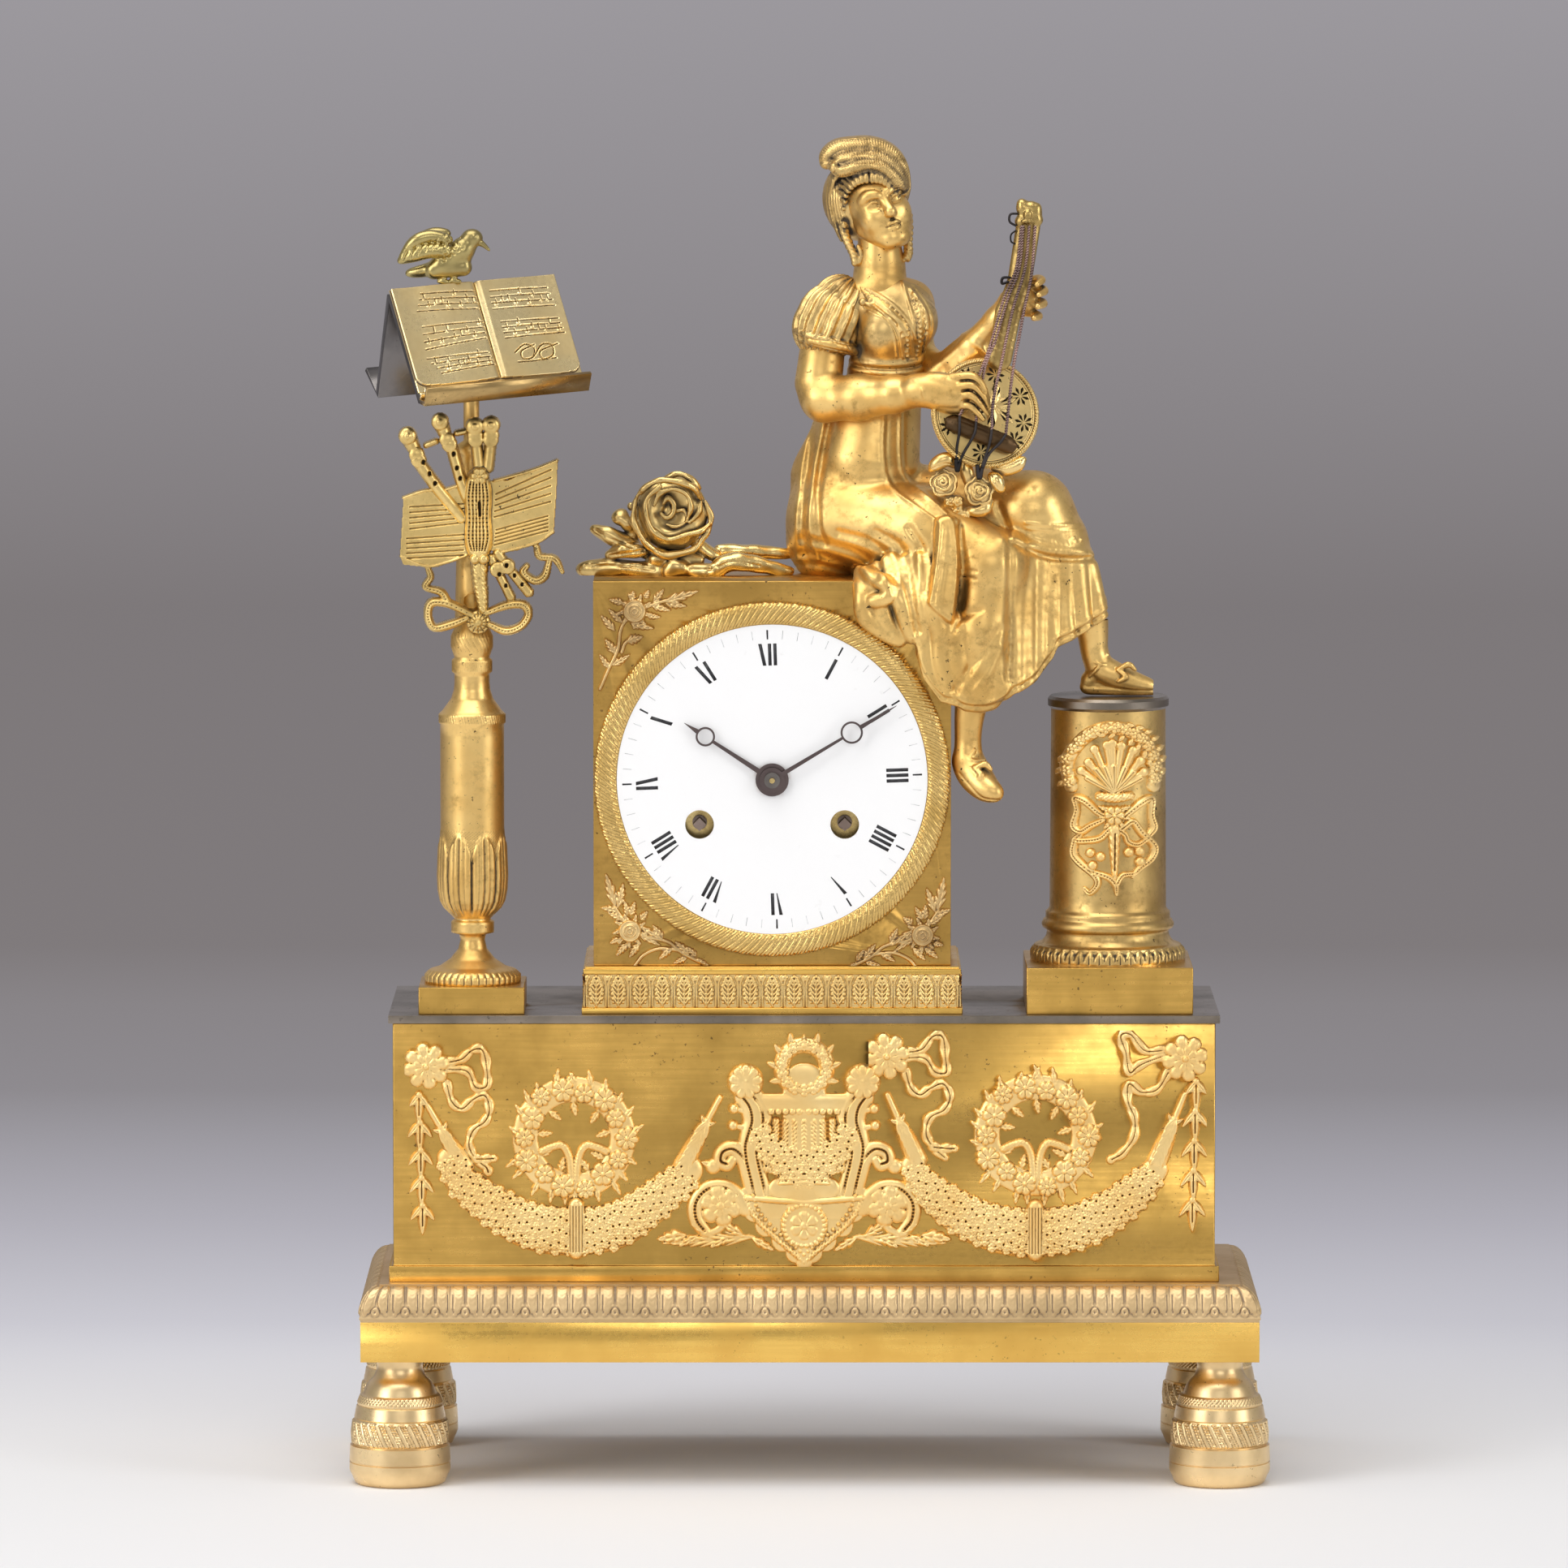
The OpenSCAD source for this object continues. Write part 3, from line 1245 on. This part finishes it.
// A rib along points on the column's face
module column_rib(points, r0, r1) {
    n = len(points) - 1;
    for (i = [0:n - 1]) hull() {
        translate(on_column(points[i])) sphere(r0 + (r1 - r0) * i / n, $fn = 8);
        translate(on_column(points[i + 1])) sphere(r0 + (r1 - r0) * (i + 1) / n, $fn = 8);
    }
}

// The column's mount: a wreath with a fan, a crown, knotted ribbons and a torch under it
module column_mount() {
    mid = cap_z - 33.6;
    color("goldenrod") difference() {
        union() {
            column_rib([for (a = [0:24:360]) [11.4 * cos(a), mid + 10 + 11.4 * sin(a)]], 1.9, 1.9);
            for (a = [30:30:150])
                column_rib([[0, mid], [9 * cos(a), mid + 9 * sin(a)], [19 * cos(a), mid + 19 * sin(a)]], 1, 1.7);
            column_rib([[-6, mid], [0, mid - 0.6], [6, mid]], 1.8, 1.8);
            column_rib([[-11, mid + 4], [-6, mid - 6], [0, mid - 9], [6, mid - 6], [11, mid + 4]], 1.4, 1.4);
            column_rib([[-8, mid - 11], [-3, mid - 16.6], [3, mid - 16.6], [8, mid - 11]], 1.6, 1.6);
            column_rib([[0, mid], [0, mid - 18.8]], 1.9, 1);
        }
        translate([col_x, col_y, mid - 30]) cylinder(r = col_r + 0.02, h = 60, $fn = 72);
    }
}

module stand_block() {
    color("darkgoldenrod") difference() {
        block(stand_x, stand_block_w, stand_y - stand_block_w / 2, stand_y + stand_block_w / 2,
            deck_z, stand_z);
        translate([stand_x, stand_y, deck_z - 1])
            cylinder(r = stud_r + stud_gap, h = stand_block_h + 2, $fn = 32);
    }
}

module stand_baluster() {
    color("goldenrod") {
        turned([stand_x, stand_y], stand_z, stand_outline);
        translate([stand_x, stand_y, top_z - nut_h - 1.2])
            cylinder(r = stud_r, h = stand_z - top_z + nut_h + 2, $fn = 32);
    }
}

module music_desk() {
    f = desk_front;
    r = desk_rear;
    t = desk_t;
    color("khaki") {
        translate([stand_x, stand_y, desk_z + f[1]]) rotate([0, 0, desk_turn]) rotate([0, -desk_tilt, 0])
            translate([-desk_w / 2, 0, 0]) rotate([90, 0, 90]) linear_extrude(desk_w) {
                polygon([[-t, t], [-f[0] - t, -f[1]], [-f[0] - desk_lip, -f[1] - 0.6],
                    [-f[0] - desk_lip - 1.6, -f[1] + 3.6], [-f[0] - desk_lip - 2.4, -f[1] + 3.2],
                    [-f[0] - desk_lip, -f[1] - 1.6], [-f[0] + 0.4, -f[1] - 1.2], [0, -t],
                    [r[0], -r[1] - 1.2], [r[0] + 8, -r[1] + 6], [r[0] + 7, -r[1] + 7],
                    [r[0] + t, -r[1] + 0.6], [t, t]]);
            }
        difference() {
            translate([stand_x, stand_y, desk_z]) cylinder(r = 3, h = desk_front[1] - 4, $fn = 32);
            translate([stand_x, stand_y, desk_z - 1]) cylinder(r = 0.5, h = 3, $fn = 16);
        }
    }
}

module bird() {
    foot = desk_point(-7.5, 0, -1.6);
    u = [cos(desk_turn), sin(desk_turn), 0];
    color("olive") {
        limb(foot + [0, 0, 7] - u * 4, 3.6, foot + [0, 0, 9] + u * 2, 4.2);
        limb(foot + [0, 0, 9] + u * 2, 3.4, foot + [0, 0, 13] + u * 5, 2.6);
        limb(foot + [0, 0, 13] + u * 6, 1.2, foot + [0, 0, 11.4] + u * 13, 0.4);
        limb(foot + [0, 0, 8] - u * 6, 2, foot + [0, 0, 8.6] - u * 15, 0.8);
        limb(foot, 2, foot + [0, 0, 5], 1.8);
    }
}

module stand_trophy() {
    y = stand_y - 6.4;
    x = stand_x;
    z = stand_z + rod_top - 48;
    t = 2.6;
    color("darkkhaki") {
        slab([x, z], y - t, t) {
            polygon([[-19, 17], [-20, -1.4], [-10, -1.8], [-1, 1], [-2, 21.6]]);
            polygon([[5, 22.4], [24, 28.2], [22.8, 7.4], [17.4, 3.8], [9, 2], [5, 2.8]]);
        }
        slab([x, z], y - 2 * t, 2 * t + 2) {
            translate([-1, 2.4]) square([6, 24]);
            band([[2, 4], [2, -13.4]], [5, 3]);
            translate([1.7, -17.4]) circle(3.2, $fn = 32);
        }
        slab([x, z], y - t, t) {
            for (s = [-1, 1]) {
                band([[1.7, -17], [1.7 + s * 6, -12], [1.7 + s * 13, -12.6], [1.7 + s * 13, -18],
                    [1.7 + s * 6, -19.4], [1.7, -17.6]], [2, 2, 2, 2, 2, 2]);
            }
            band([[4, 3], [16, -9.8]], [4, 3.4]);
            band([[16, 5], [24, -2], [29.4, -5]], [2, 2, 2]);
            band([[-13, -1], [-14, -7], [-12, -12]], [2, 2, 2]);
        }
        for (p = [[-18.6, 35, -10.6, 19.6], [-9.2, 38.6, -3.4, 22]])
            hull() {
                translate([x + p[0], y - t, z + p[1]]) sphere(3.4, $fn = 18);
                translate([x + p[2], y - t, z + p[3]]) sphere(1.8, $fn = 18);
            }
        for (k = [0, 5.4]) translate([x + k, y - t - 1, z + 22]) cylinder(r1 = 1.8, r2 = 2.8, h = 16, $fn = 24);
    }
}

feet();
fixing_nuts();
base_frame();
leaf_moulding();
frieze_box();
top_plate();
garland_mount_left();
garland_mount_right();
lyre_mount();
case_plinth();
case_shell();
corner_mounts();
bezel();
dial();
movement_drum();
front_plate();
back_plate();
plate_pillars();
going_barrel();
going_arbor();
strike_barrel();
strike_arbor();
intermediate_wheel();
centre_wheel();
third_wheel();
escape_wheel();
pallet_anchor();
strike_wheel();
pin_wheel();
minute_wheel();
hour_wheel();
suspension_cock();
pendulum_rod();
pendulum_bob();
bell();
bell_hammer();
count_wheel();
hour_hand();
minute_hand();
hand_collet();
rear_ring();
rear_cover();
figure_dress();
figure_head();
figure_arm_right();
figure_arm_left();
figure_feet();
guitar_body();
guitar_neck();
guitar_strings();
rose_branch();
column_block();
column_shaft();
column_cap();
column_mount();
stand_block();
stand_baluster();
music_desk();
bird();
stand_trophy();
